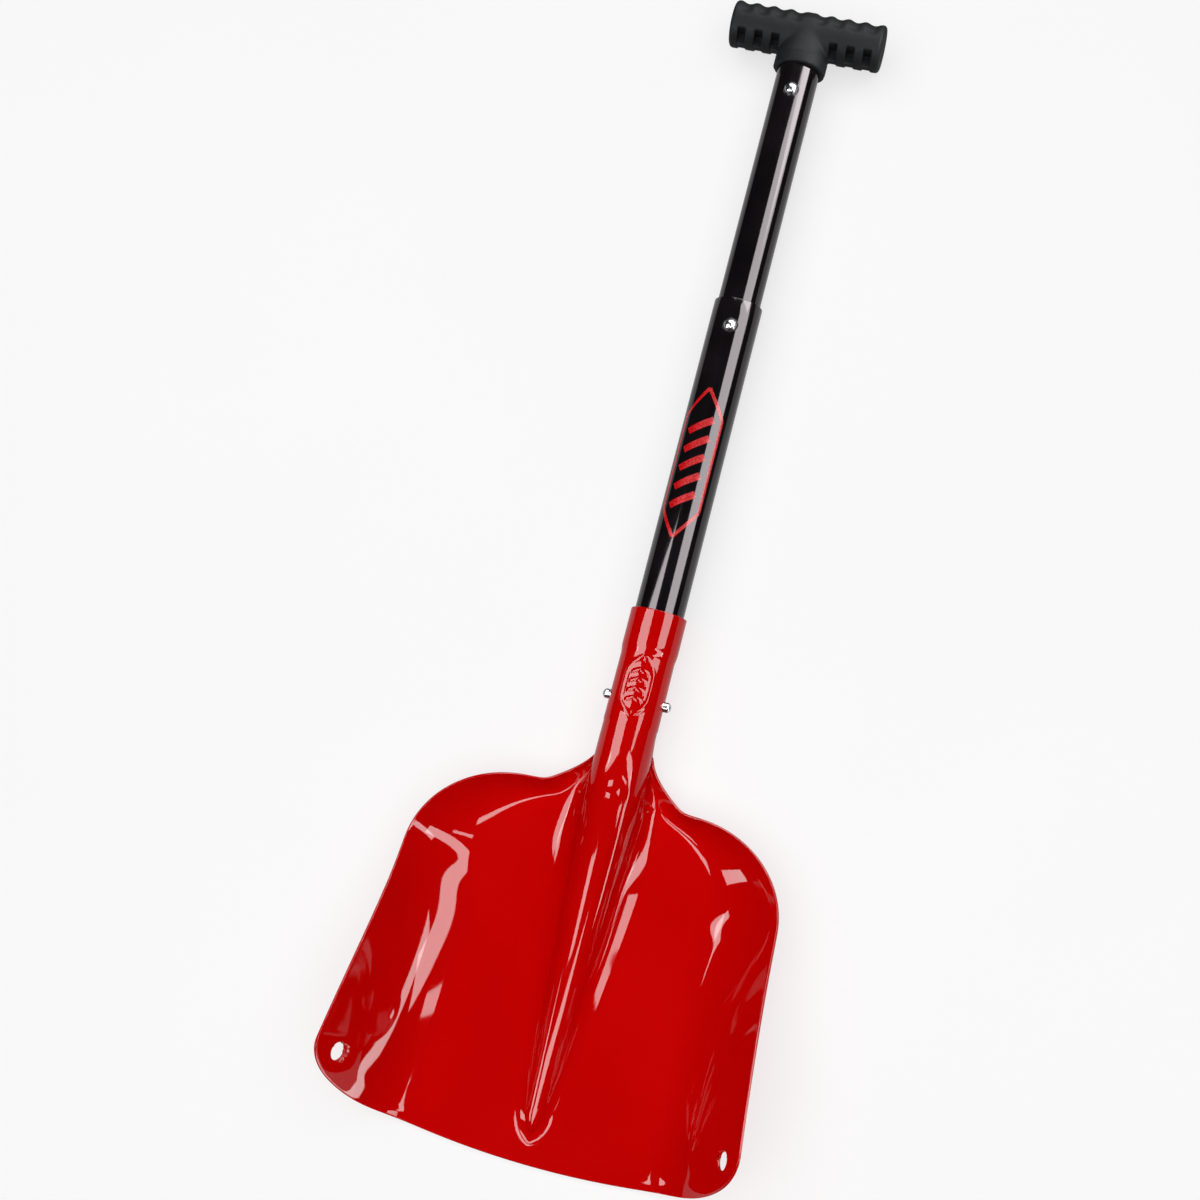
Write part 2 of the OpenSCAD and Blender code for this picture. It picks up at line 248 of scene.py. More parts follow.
def thicken(bm, thickness, rim):
    """Turns a middle layer into a closed sheet whose rims are rounded by the rim radius."""
    half = thickness / 2
    bm.normal_update()
    verts = list(bm.verts)
    for k, v in enumerate(verts):
        v.index = k
    faces = [[v.index for v in f.verts] for f in bm.faces]
    normals = [v.normal.copy() for v in verts]
    outward = {}
    edges = []
    for e in bm.edges:
        if e.is_boundary:
            loop = e.link_loops[0]
            a, b = loop.vert, loop.link_loop_next.vert
            out = (b.co - a.co).cross(loop.face.normal).normalized()
            edges.append((a.index, b.index))
            for v in (a, b):
                outward[v.index] = outward.get(v.index, Vector()) + out
    new = bmesh.new()

    def layer(side):
        made = []
        for k, v in enumerate(verts):
            o = outward[k].normalized() * rim if k in outward else Vector()
            made.append(new.verts.new(v.co + normals[k] * half * side - o))
        return made

    top, bottom = layer(1), layer(-1)
    for f in faces:
        new.faces.new([top[k] for k in f])
        new.faces.new([bottom[k] for k in reversed(f)])
    round_edge = {}
    for k in outward:
        o, n, at = outward[k].normalized(), normals[k], verts[k].co
        column = [top[k]]
        for side in (1, -1):
            for s in range(1, RIM_STEPS + 1) if side == 1 else range(RIM_STEPS, 0, -1):
                a = math.pi / 2 * s / RIM_STEPS
                column.append(new.verts.new(at - o * rim + n * side * (half - rim)
                                            + (o * math.sin(a) + n * side * math.cos(a)) * rim))
        round_edge[k] = column + [bottom[k]]
    for a, b in edges:
        for p, q, r, t in zip(round_edge[a], round_edge[a][1:], round_edge[b], round_edge[b][1:]):
            new.faces.new([r, p, q, t])
    bm.free()
    return new


def grid_mesh(points, flip=False):
    """A bmesh from an array of points [rows, columns, 3]."""
    rows, cols = points.shape[:2]
    bm = bmesh.new()
    verts = [bm.verts.new(p) for p in points.reshape(-1, 3)]
    for i in range(rows - 1):
        for j in range(cols - 1):
            a = i * cols + j
            corners = [verts[k] for k in (a, a + 1, a + cols + 1, a + cols)]
            bm.faces.new(corners[::-1] if flip else corners)
    return bm


def punch(bm, centre, axis, radius, reach):
    """Cuts a round hole square to the axis through a fine mesh, near the centre only."""
    centre, axis = Vector(centre), Vector(axis).normalized()
    side = axis.orthogonal().normalized()
    up = axis.cross(side)
    tree = BVHTree.FromBMesh(bm)

    def polar(p):
        d = p - centre
        return (d - axis * d.dot(axis)).length, math.atan2(d.dot(up), d.dot(side)), d.dot(axis)

    gone = []
    for f in bm.faces:
        if any(v.is_boundary for v in f.verts):
            continue
        r, _, h = polar(f.calc_center_median())
        if r < radius + PUNCH_MARGIN and abs(h) < reach:
            gone.append(f)
    old = {e for e in bm.edges if e.is_boundary}
    bmesh.ops.delete(bm, geom=gone, context="FACES")
    nexts = {}
    for e in bm.edges:
        if e.is_boundary and e not in old:
            loop = e.link_loops[0]
            nexts[loop.link_loop_next.vert] = loop.vert
    ring = [next(iter(nexts))]
    while nexts[ring[-1]] is not ring[0]:
        ring.append(nexts[ring[-1]])
    count = len(ring)
    angles = np.unwrap([polar(v.co)[1] for v in ring])
    turn = 1 if angles[-1] > angles[0] else -1
    start = float(np.mean(angles - turn * 2 * np.pi * np.arange(count) / count))
    loops = [ring]
    for r in (radius + PUNCH_LIP, radius):
        loop = []
        for k in range(count):
            a = start + turn * 2 * math.pi * k / count
            at = centre + (side * math.cos(a) + up * math.sin(a)) * r
            hit = tree.ray_cast(at + axis * reach, -axis, 2 * reach)[0] or at
            loop.append(bm.verts.new(hit))
        loops.append(loop)
    for outer, inner in zip(loops, loops[1:]):
        for k in range(count):
            n = (k + 1) % count
            bm.faces.new([outer[k], outer[n], inner[n], inner[k]])


def lathe(profile, place, segments=64):
    """A closed bmesh turned from (radius, height) points round local Z; place is a 4x4 matrix in mm."""
    bm = bmesh.new()
    rings = []
    for r, h in profile:
        if r < 10 * ON_AXIS:
            rings.append([bm.verts.new((0, 0, h))])
        else:
            rings.append([bm.verts.new((r * math.cos(a), r * math.sin(a), h))
                          for a in (2 * math.pi * k / segments for k in range(segments))])
    for a, b in zip(rings, rings[1:]):
        for k in range(segments):
            n = (k + 1) % segments
            if len(a) == 1:
                bm.faces.new([a[0], b[k], b[n]])
            elif len(b) == 1:
                bm.faces.new([a[k], a[n], b[0]])
            else:
                bm.faces.new([a[k], a[n], b[n], b[k]])
    bmesh.ops.transform(bm, matrix=place, verts=bm.verts)
    return bm


def rounded(points, radius):
    """A profile whose inner corners are rounded by the radius."""
    out = [points[0]]
    for p, q, r in zip(points, points[1:], points[2:]):
        p, q, r = (np.array(v, float) for v in (p, q, r))
        a, b = p - q, r - q
        cut = min(radius, np.linalg.norm(a) * FILLET_SHARE, np.linalg.norm(b) * FILLET_SHARE)
        s, e = q + a / np.linalg.norm(a) * cut, q + b / np.linalg.norm(b) * cut
        for k in range(FILLET_STEPS + 1):
            t = k / FILLET_STEPS
            out.append(tuple((1 - t) ** 2 * s + 2 * t * (1 - t) * q + t * t * e))
    return out + [points[-1]]


# ---------------------------------------------------------------- blade

# The middle layer of the sheet, from the mouth of the socket at y = 0 down to the tip.
SHEET = 1.5
MID_R = 17.0                                # radius of the socket
SOCKET = 78.0                               # its length; the fully closed rows end 4 mm before that
MOUTH_R, BAND_END, BAND_FADE = 17.4, 23, 30
WAIST_R, TAPER_FROM = 16.7, 31
HALF_W, SHOULDER_W = 131.5, 120.5           # half widths of the outline
SHOULDER_Y, TIP_Y = -119.5, -353.0
WALL_H, WALL_BAND, NECK_BAND = 71.5, 60.0, 20
FLOOR, FLOOR_FROM, FLOOR_TO = 22.0, -105, -215
NECK_H, SHOULDER_SHARE = 13.0, 0.42
NOTCH_X, NOTCH_ANGLE, ARCH_SHARE, ARCH_LEN = 46.0, 97.0, 0.36, 18.0
FLAT_FROM, FLAT_POW = -88, 1.7              # where the open neck starts to flatten into the blade
SHOULDER_RX, SHOULDER_RY = 67.0, 59.5
SHOULDER_CX, SHOULDER_CY = SHOULDER_W - SHOULDER_RX, SHOULDER_Y - SHOULDER_RY
CORNER_RX, CORNER_RY, CORNER_END = 43.5, 38.5, 12.0
CORNER_CX, CORNER_CY = HALF_W - CORNER_RX, TIP_Y + 45.5
SIDE_POW, WALL_POW = 1.3, 1.28              # powers of the side's bow and of the wall's rise
BOW_X = CORNER_CX + CORNER_RX * math.sin(math.radians(CORNER_END))
BOW = CORNER_CY - CORNER_RY * math.cos(math.radians(CORNER_END)) - TIP_Y
# Rows: the neck to row 1, the shoulder to 2, the side to 3, the corner to 4, the tip's bow to the last.
ROW_1, ROW_2, ROW_3, ROW_4, LAST_ROW = 11, 23, 32, 39, 47
# Columns from the crest: the ridge's top, its fillet, then the floor and the wall out to the outline.
TOP_COL, FOOT_COL, LAST_COL = 5, 10, 21
CREST_END = TIP_Y + 26
CREST = [(0, 4 - SOCKET), (ROW_1, SHOULDER_Y), (ROW_2, SHOULDER_Y - 72), (ROW_3, TIP_Y + 36),
         (LAST_ROW, CREST_END)]             # (row, y) where rows leave the crest
RIDGE_W, RIDGE_TIP_W, RIDGE_POW = 17.5, 5.5, 1.2
RIDGE_TIP_H, RIDGE_DROP_FROM, RIDGE_WAIST = 5, -92, 0.45
RIDGE_CHAMFER = 0.75                        # how far the ridge's round section turns straight at the tip
FILLET_NECK, FILLET_MAX, FILLET_TIP = 12, 26, 9
FILLET_FROM, FILLET_TO = -120, -175
SIDE_ANGLE, FOOT_ANGLE, SLIT_ANGLE = 90, 158, 177   # round the socket, from the front to the slit
SMOOTHING = 5
HOLE_AT = (121.927, -312.292, 25.008)
HOLE_DIR = (-0.880321, -0.041577, 0.472553)
HOLE_R = 5.75
HOLE_REACH = 14
LATCH_Y = -57.0
LATCH_HOLE_R = 3.45
LATCH_REACH = 6


def lerp(a, b, t):
    return a + (b - a) * t


def ease(t):
    """A soft step from 0 to 1."""
    t = np.clip(t, 0, 1)
    return t * t * (3 - 2 * t)


def share(v, a, b):
    """How far v is from a to b, kept in 0-1."""
    return np.clip((v - a) / (b - a), 0, 1)


def sin(a):
    """Of an angle in degrees, as in cos."""
    return np.sin(np.radians(a))


def cos(a):
    return np.cos(np.radians(a))


def crest_y(i):
    """Where row i leaves the crest."""
    rows, ys = zip(*CREST)
    return np.interp(i, rows, ys)


def outline(i):
    """The point of the outline at row i: shoulder, side, corner and the tip's bow in turn."""
    a = NOTCH_ANGLE * (1 - (i - ROW_1) / (ROW_2 - ROW_1))
    v = np.clip((i - ROW_2) / (ROW_3 - ROW_2), 0, None)
    b = lerp(90, CORNER_END, (i - ROW_3) / (ROW_4 - ROW_3))
    x = BOW_X * (1 - (i - ROW_4) / (LAST_ROW - ROW_4))
    parts = [(i <= ROW_2, SHOULDER_CX + SHOULDER_RX * cos(a), SHOULDER_CY + SHOULDER_RY * sin(a)),
             (i <= ROW_3, lerp(SHOULDER_W, HALF_W, v ** SIDE_POW), lerp(SHOULDER_CY, CORNER_CY, v)),
             (i <= ROW_4, CORNER_CX + CORNER_RX * sin(b), CORNER_CY - CORNER_RY * cos(b))]
    ox, oy = x, TIP_Y + BOW * (x / BOW_X) ** 2
    for test, px, py in reversed(parts):
        ox, oy = np.where(test, px, ox), np.where(test, py, oy)
    return ox, oy


def edge_h(i):
    """From the neck to the shoulders, the height of the sheet's edge over the floor."""
    neck = NECK_H * ease(i / ROW_1)
    shoulder = lerp(NECK_H, SHOULDER_SHARE * WALL_H, share(i, ROW_1, ROW_2))
    return np.where(i <= ROW_1, neck, shoulder)


def band_w(i):
    """Down to the shoulders, the width of the band along the edge that rises from the floor."""
    return lerp(NECK_BAND, WALL_BAND, share(i, ROW_1, ROW_2))


def side_share(y):
    """How far y is from the shoulder's centre to the corner's, which can be more than 1."""
    return np.maximum(0, (SHOULDER_CY - y) / (SHOULDER_CY - CORNER_CY))


def side_x(y):
    """Below the shoulders, the outer line of the side wall, which the outline cuts off at the tip."""
    return lerp(SHOULDER_W, HALF_W, side_share(y) ** SIDE_POW)


def side_h(y):
    """Height of that line over the floor."""
    along = np.minimum(1, side_share(y) / side_share(TIP_Y))
    return WALL_H * lerp(SHOULDER_SHARE, 1, sin(90 * along) ** WALL_POW)


def floor_z(y):
    """Height of the flat floor, which sinks from the socket's back to the blade's."""
    return -lerp(MID_R, FLOOR, ease(share(y, FLOOR_FROM, FLOOR_TO)))


def ridge_part(y, j):
    """Distance from the crest, and height, on the ridge's top and its fillet."""
    along = share(y, SHOULDER_Y, CREST_END)
    half = lerp(RIDGE_W, RIDGE_TIP_W, along ** RIDGE_POW)
    widest = lerp(FILLET_NECK, FILLET_MAX, ease(share(y, FILLET_FROM, FILLET_TO)))
    fillet = lerp(widest, FILLET_TIP, share(y, FILLET_TO, CREST_END))
    straight = RIDGE_CHAMFER * along
    foot_z = floor_z(y)
    crest_z = lerp(MID_R, RIDGE_TIP_H - FLOOR, share(y, RIDGE_DROP_FROM, CREST_END))
    waist_z = lerp(foot_z, crest_z, RIDGE_WAIST)
    top = j <= TOP_COL
    a = 90 * np.where(top, j / TOP_COL, (j - TOP_COL) / (FOOT_COL - TOP_COL))
    top_x = half * lerp(sin(a), a / 90, straight)
    fillet_x = half + fillet * lerp(1 - cos(a), a / 90, straight)
    top_z = waist_z + (crest_z - waist_z) * cos(a)
    fillet_z = waist_z - (waist_z - foot_z) * sin(a)
    return np.where(top, top_x, fillet_x), np.where(top, top_z, fillet_z)


def socket_r(y):
    """Radius of the rolled socket: a band at the mouth, then a slight taper outwards."""
    band = 1 - ease(share(-y, BAND_END, BAND_FADE))
    return lerp(lerp(WAIST_R, MID_R, share(-y, TAPER_FROM, SOCKET)), MOUTH_R, band)


def opened(y):
    """How far the rolled sheet has opened into the blade: an arch at the socket's end, then flattening."""
    arch = share(y, -SOCKET - 2, -SOCKET - 2 - ARCH_LEN)
    flat = share(y, FLAT_FROM, SHOULDER_Y)
    arched = ARCH_SHARE * np.sqrt(1 - (1 - arch) ** 2)
    return np.where(flat > 0, lerp(ARCH_SHARE, 1, flat ** FLAT_POW), arched)


def mid(i, j):
    """The middle layer of the sheet. Row -1 is the socket's mouth, row 0 the end of its closed part."""
    y = np.where(i < 0, lerp(CREST[0][1], 0, np.clip(-i, 0, 1)), crest_y(np.maximum(i, 0)))
    on_ridge = j <= FOOT_COL
    # the ridge, whose rows fan round its nose
    turn = lerp(90, 0, share(i, ROW_3, LAST_ROW))
    across, ridge_z = ridge_part(y, np.minimum(j, FOOT_COL))
    foot_x, foot_y = across * sin(turn), y - across * cos(turn)
    # from the ridge's foot out to the outline
    out_x, out_y = outline(np.maximum(i, ROW_1 + 0.01))
    neck = i <= ROW_1
    edge_x, edge_y = np.where(neck, NOTCH_X, out_x), np.where(neck, y, out_y)
    t = np.clip((j - FOOT_COL) / (LAST_COL - FOOT_COL), 0, 1)
    floor_x, floor_y = lerp(foot_x, edge_x, t), lerp(foot_y, edge_y, t)
    above = i <= ROW_2
    to_edge = (1 - t) * np.hypot(edge_x - foot_x, edge_y - foot_y) / band_w(i)
    inward = np.where(above, to_edge, (side_x(floor_y) - floor_x) / WALL_BAND)
    rise = np.clip(1 - inward, 0, 1)
    height = np.where(above, edge_h(i), side_h(floor_y))
    blade_x = np.where(on_ridge, foot_x, floor_x)
    blade_y = np.where(on_ridge, foot_y, floor_y)
    blade_z = np.where(on_ridge, ridge_z, floor_z(floor_y) + height * rise * rise)
    # the same point while it is still rolled up
    down = SIDE_ANGLE + (FOOT_ANGLE - SIDE_ANGLE) * (j - TOP_COL) / (FOOT_COL - TOP_COL)
    a = np.where(j <= TOP_COL, SIDE_ANGLE * j / TOP_COL,
                 np.where(on_ridge, down, lerp(FOOT_ANGLE, SLIT_ANGLE, t)))
    r = np.where(i < 0, socket_r(y), MID_R)
    w = np.where(i < 0, 0, np.where(i < ROW_1, opened(y), 1))
    return np.stack([lerp(r * sin(a), blade_x, w), lerp(y, blade_y, w), lerp(r * cos(a), blade_z, w)], -1)


def smooth_grid(grid, passes):
    """Evens out a half blade along rows and columns; its outline and mirror plane stay nearly in place."""
    for _ in range(passes):
        ahead = np.concatenate([grid[1:], (grid[-2] * [-1, 1, 1])[None]])
        behind = np.concatenate([(2 * grid[0] - grid[1])[None], grid[:-1]])
        grid = grid * 0.5 + (ahead + behind) * 0.25
        inner = np.concatenate([(grid[:, 1] * [-1, 1, 1])[:, None], grid[:, :-1]], 1)
        outer = np.concatenate([grid[:, 1:], (2 * grid[:, -1] - grid[:, -2])[:, None]], 1)
        grid = grid * 0.5 + (inner + outer) * 0.25
        grid[:, 0, 0] = 0
        grid[-1, :, 0] = 0
    return grid


# The socket's raised mark: a frame, and chevrons inside it.
MARK_AT, MARK_END, MARK_LIFT = -49.5, -76, 0.45
FRAME_W, FRAME_L, FRAME_POW, FRAME_CUT = 9.6, 20.5, 8, 0.45
FRAME_LINE, FRAME_SOFT = 0.95, 0.085
CHEVRON_W, CHEVRON_FADE, CHEVRON_SLOPE, CHEVRON_SOFT = 4.2, 1.4, 0.5, 1.1
CHEVRON_PITCH, CHEVRON_SHIFT = 6.0, 1.6


def emboss(grid):
    """Raises a plain six-sided frame and four chevrons on the front of the socket."""
    x, y, z = grid[..., 0], grid[..., 1], grid[..., 2]
    arc, dy = np.abs(np.arctan2(x, z)) * MID_R, y - MARK_AT
    side, slant = arc / FRAME_W, arc / FRAME_W * FRAME_CUT + np.abs(dy) / FRAME_L
    ring = (side ** FRAME_POW + slant ** FRAME_POW) ** (1 / FRAME_POW)
    lift = MARK_LIFT * np.exp(-((ring - FRAME_LINE) / FRAME_SOFT) ** 2)
    inside = 1 - ease((arc - CHEVRON_W) / CHEVRON_FADE)
    for k in (-1.5, -0.5, 0.5, 1.5):
        off = dy + arc * CHEVRON_SLOPE - CHEVRON_SHIFT - k * CHEVRON_PITCH
        lift = lift + MARK_LIFT * inside * np.exp(-(off / CHEVRON_SOFT) ** 2)
    lift = np.where((y > MARK_END) & (z > 0), lift, 0)
    radial = np.stack([x, x * 0, z], -1)
    radial /= np.maximum(np.linalg.norm(radial, axis=-1, keepdims=True), 1e-6)
    return grid + radial * lift[..., None]


def steps(*runs):
    """Joined runs of evenly spaced numbers, each (start, end, count)."""
    out = [runs[0][0]]
    for a, b, n in runs:
        out += list(np.linspace(a, b, n + 1)[1:])
    return np.array(out)


def blade():
    """The stamped sheet: a dense half grid, smoothed below the socket, mirrored, punched and thickened."""
    rows = steps((-1, -0.98, 2), (-0.98, -0.72, 8), (-0.72, -0.6, 12), (-0.6, -0.02, 72), (-0.02, 0, 1),
                 (0, ROW_1, 42), (ROW_1, ROW_2, 34), (ROW_2, ROW_3 - 1, 28), (ROW_3 - 1, ROW_3, 10),
                 (ROW_3, ROW_3 + 3, 16), (ROW_3 + 3, ROW_4, 12), (ROW_4, LAST_ROW, 26))
    cols = steps((0, 2.1, 22), (2.1, TOP_COL, 7), (TOP_COL, FOOT_COL, 12), (FOOT_COL, LAST_COL - 2, 26),
                 (LAST_COL - 2, LAST_COL, 14))
    i, j = np.meshgrid(rows, cols, indexing="ij")
    half = mid(i, j)
    below = rows >= -0.01
    half[below] = smooth_grid(half, SMOOTHING)[below]
    half = emboss(half)
    bm = grid_mesh(half)
    side = new_mesh("side", grid_mesh(half * [-1, 1, 1], flip=True))
    bm.from_mesh(side)
    bpy.data.meshes.remove(side)
    bmesh.ops.remove_doubles(bm, verts=[v for v in bm.verts if abs(v.co.x) < 1e-4], dist=1e-3)
    bmesh.ops.dissolve_degenerate(bm, dist=1e-4, edges=bm.edges)
    for s in (1, -1):
        punch(bm, (s * HOLE_AT[0], *HOLE_AT[1:]), (s * HOLE_DIR[0], *HOLE_DIR[1:]), HOLE_R, HOLE_REACH)
        punch(bm, (s * MID_R, LATCH_Y, 0), (s, 0, 0), LATCH_HOLE_R, LATCH_REACH)
    bmesh.ops.recalc_face_normals(bm, faces=bm.faces)
    piece("blade_sheet", thicken(bm, SHEET, BLADE_RIM), "blade", "blade", RED)


# ---------------------------------------------------------------- shaft

FRONT, BACK, LEFT, RIGHT = (0, 0, 1), (0, 0, -1), (-1, 0, 0), (1, 0, 0)
LOWER_LOW, LOWER_HIGH = box_mm("lower_shaft")
UPPER_LOW, UPPER_HIGH = box_mm("upper_shaft")
LOWER_R, UPPER_R = LOWER_HIGH[0], UPPER_HIGH[0]
LOWER_WALL, UPPER_WALL = 1.575, 1.35
EXTENSION_Y, STOW_Y, RIVET_Y = (float(np.mean([corner[1] for corner in box_mm(node)]))
                                for node in ("extension_button", "stow_button", "grip_rivet"))
SNAP_HOLE_R, RIVET_HOLE_R = 4.55, 2.45
HOLE_BAND, FINE_STEP, COARSE_STEP = 4, 1.1, 9   # finer rings this far past each hole
RING_POINTS, TUBE_REACH = 97, 8


def tube(name, node, y_from, y_to, outer, wall, holes):
    """A tube with round holes; holes are (y, direction, radius)."""
    middle = outer - wall / 2
    marks = [y_from, y_to]
    for y, _, r in holes:
        marks += [y - r - HOLE_BAND, y + r + HOLE_BAND]
    marks = sorted(set(np.clip(marks, y_from, y_to)))
    ys = [marks[0]]
    near = HOLE_BAND + 0.1
    for a, b in zip(marks, marks[1:]):
        fine = any(a >= y - r - near and b <= y + r + near for y, _, r in holes)
        count = max(1, int(round((b - a) / (FINE_STEP if fine else COARSE_STEP))))
        ys += list(np.linspace(a, b, count + 1)[1:])
    angles = np.linspace(0, 2 * np.pi, RING_POINTS)
    grid = np.array([[(middle * math.sin(a), y, middle * math.cos(a)) for a in angles] for y in ys])
    bm = grid_mesh(grid)
    bmesh.ops.remove_doubles(bm, verts=bm.verts, dist=1e-3)
    for y, direction, r in holes:
        punch(bm, Vector((0, y, 0)) + Vector(direction) * middle, direction, r, TUBE_REACH)
    bmesh.ops.recalc_face_normals(bm, faces=bm.faces)
    piece(name, thicken(bm, wall, TUBE_RIM), node, node, BLACK)


def shafts():
    snap = (EXTENSION_Y, FRONT, SNAP_HOLE_R)
    tube("lower_tube", "lower_shaft", LOWER_LOW[1], LOWER_HIGH[1], LOWER_R, LOWER_WALL,
         [snap, (LATCH_Y, RIGHT, LATCH_HOLE_R), (LATCH_Y, LEFT, LATCH_HOLE_R)])
    tube("upper_tube", "upper_shaft", UPPER_LOW[1], UPPER_HIGH[1], UPPER_R, UPPER_WALL,
         [snap, (STOW_Y, FRONT, SNAP_HOLE_R), (RIVET_Y, BACK, RIVET_HOLE_R)])


ALONG_Y = Matrix.Rotation(math.radians(-90), 4, "X")    # local Z turned onto +Y
PLUG_WALL, PLUG_SKIRT_GAP, PLUG_FILLET = 2.2, 1.65, 0.35
BUSH_WALL, BUSH_NECK, BUSH_FILLET = 3.35, 1.45, 0.25
LIP, CHAMFER, BUSH_CHAMFER = 2, 0.4, 0.3


def plug_and_bush():
    """The lower tube's end plug, closed at its outer end, and the ring on which the upper tube slides."""
    low, high = box_mm("lower_shaft_plug")
    r, skirt = high[0], LOWER_R - PLUG_SKIRT_GAP
    end, lip, top = low[1], low[1] + LIP, high[1]
    inside = lip + 0.3
    profile = [(ON_AXIS, end), (r - CHAMFER, end), (r, end + CHAMFER), (r, lip),
               (skirt, lip), (skirt, top - CHAMFER), (skirt - CHAMFER, top),
               (skirt - PLUG_WALL, top), (skirt - PLUG_WALL, inside), (ON_AXIS, inside)]
    plug = lathe(rounded(profile, PLUG_FILLET), ALONG_Y)
    piece("end_plug", plug, "lower_shaft", "lower_shaft_plug", PLASTIC)

    low, high = box_mm("upper_shaft_bush")
    r, bore, neck = high[0], high[0] - BUSH_WALL, high[0] - BUSH_NECK
    end, lip, top = low[1], low[1] + LIP, high[1]
    profile = [(bore, end), (r - CHAMFER, end), (r, end + CHAMFER), (r, lip),
               (neck, lip), (neck, top - BUSH_CHAMFER), (neck - BUSH_CHAMFER, top), (bore, top)]
    profile = rounded(profile, BUSH_FILLET)
    bush = lathe(profile + profile[:1], ALONG_Y)
    bmesh.ops.remove_doubles(bush, verts=bush.verts, dist=1e-4)
    piece("slide_bush", bush, "upper_shaft", "upper_shaft_bush", PLASTIC)


# ---------------------------------------------------------------- small parts

SNAP_R, LATCH_R = 4.25, 3.15
PIN_DOME = 1.12                             # radius of a pin's dome over the pin's
PIN_RIM, PIN_RIM_SQUARED = 0.9925, 0.985    # the dome's rim over the pin's radius
FLANGE_TOP, FLANGE_EDGE, STEM_FROM = 0.9, 0.2, 1.2
RIVET_R, RIVET_EDGE, RIVET_SEAT = 2.4, 0.5, 17.0
RIVET_DOME, RIVET_RIM = 0.6, 0.985          # where the head's dome starts, over its seat and its radius


def dome(radius, start, top, count):
    """The profile of a dome of that radius, from an angle up to the axis."""
    angles = [start * (1 - k / count) for k in range(count + 1)]
    return [(max(radius * math.sin(a), ON_AXIS), top - radius + radius * math.cos(a)) for a in angles]


def snap_profile(r, flange, base, top):
    """A domed pin on a thin flange with a soft shoulder."""
    sphere = r * PIN_DOME
    start = top - (sphere - math.sqrt(sphere ** 2 - r ** 2 * PIN_RIM_SQUARED))
    flange_top = base + FLANGE_TOP
    profile = [(ON_AXIS, base), (flange - FLANGE_EDGE, base), (flange, base + FLANGE_EDGE),
               (flange, flange_top - FLANGE_EDGE), (flange - FLANGE_EDGE, flange_top), (r + 0.25, flange_top),
               (r, base + STEM_FROM), (r, start - 0.25), (r - 0.02, start - 0.1)]
    return profile + dome(sphere, math.asin(r * PIN_RIM / sphere), top, 12)


def buttons():
    """The four snap pins and the rivet that holds the grip's collar from behind."""
    for name, node in (("extension_pin", "extension_button"), ("stow_pin", "stow_button")):
        low, high = box_mm(node)
        place = Matrix.Translation((0, (low[1] + high[1]) / 2, 0))
        pin = lathe(snap_profile(SNAP_R, high[0], low[2], high[2]), place)
        piece(name, pin, node, node, STEEL)
    for side, s in (("left", -1), ("right", 1)):
        node = "blade_button_" + side
        low, high = box_mm(node)
        near, far = sorted((abs(low[0]), abs(high[0])))
        place = Matrix.Translation((0, LATCH_Y, 0)) @ Matrix.Rotation(math.radians(90 * s), 4, "Y")
        pin = lathe(snap_profile(LATCH_R, high[2], near, far), place)
        piece("latch_pin_" + side, pin, node, node, STEEL)
    low, high = box_mm("grip_rivet")
    head, tail, top = high[0], -high[2], -low[2]
    profile = [(ON_AXIS, tail), (RIVET_R - RIVET_EDGE, tail), (RIVET_R, tail + RIVET_EDGE),
               (RIVET_R, RIVET_SEAT), (head - 0.15, RIVET_SEAT), (head, RIVET_SEAT + 0.3)]
    rise = top - RIVET_SEAT - RIVET_DOME
    radius = (head ** 2 + rise ** 2) / (2 * rise)
    profile += dome(radius, math.asin(min(1, head * RIVET_RIM / radius)), top, 10)
    place = Matrix.Translation((0, RIVET_Y, 0)) @ Matrix.Rotation(math.pi, 4, "Y")
    piece("collar_rivet", lathe(profile, place), "upper_shaft", "grip_rivet", STEEL)


def springs():
    """The CAD strips are right as they are and only get their finish."""
    for node in ("extension_spring", "stow_spring", "blade_spring"):
        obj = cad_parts[node]
        obj.data.materials.clear()
        obj.data.materials.append(SPRING)


# ---------------------------------------------------------------- grip

BAR_Y, BAR_R, BAR_L, BAR_RIM = 403.0, 15.5, 102.0, 2.4
COLLAR_Y, COLLAR_R, COLLAR_L, COLLAR_RIM = 377.0, 17.5, 9.0, 0.9
CONE_R, CONE_Y, CONE_SLOPE, CONE_LOW, CONE_HIGH = 17.2, 386, 0.122, 384, 410
CONE_SCALE = 0.993                          # makes the cone's field a true distance
VALLEYS, FIRST_VALLEY, PITCH = 4, 8.1, 11.5
VALLEY_R, VALLEY_OUT, VALLEY_BACK = 6.0, 4.5, 3.0   # the valleys fade away from the palm side
PALM_FROM, PALM_FADE = -0.15, 0.5
SLOT_W, SLOT_H, SLOT_WEB, SLOT_ROUND = 5.4, 7.5, 5.0, 0.7
BORE_R, BORE_TOP = 14.02, 398.0
RIVET_SEAT_R, RIVET_SEAT_Z = 4.1, 17.05
BAR_BLEND, CONE_BLEND, BODY_BLEND, COLLAR_BLEND = 1.3, 1.0, 1.6, 0.5
BORE_BLEND, RIVET_BLEND, SEAT_BLEND = 0.25, 0.2, 0.3
GRIP_STEP, GRIP_MARGINS = 0.7, (1.37, 1.31)     # the net's cells, and its room below and above the CAD box
SLOPE_STEP, MIN_SLOPE, SETTLE_ROUNDS = 0.05, 0.2, 4


def soft_min(a, b, k):
    """The smaller of two fields, blended over k."""
    h = np.clip(0.5 + 0.5 * (b - a) / k, 0, 1)
    return b + (a - b) * h - k * h * (1 - h)


def soft_max(a, b, k):
    return -soft_min(-a, -b, k)


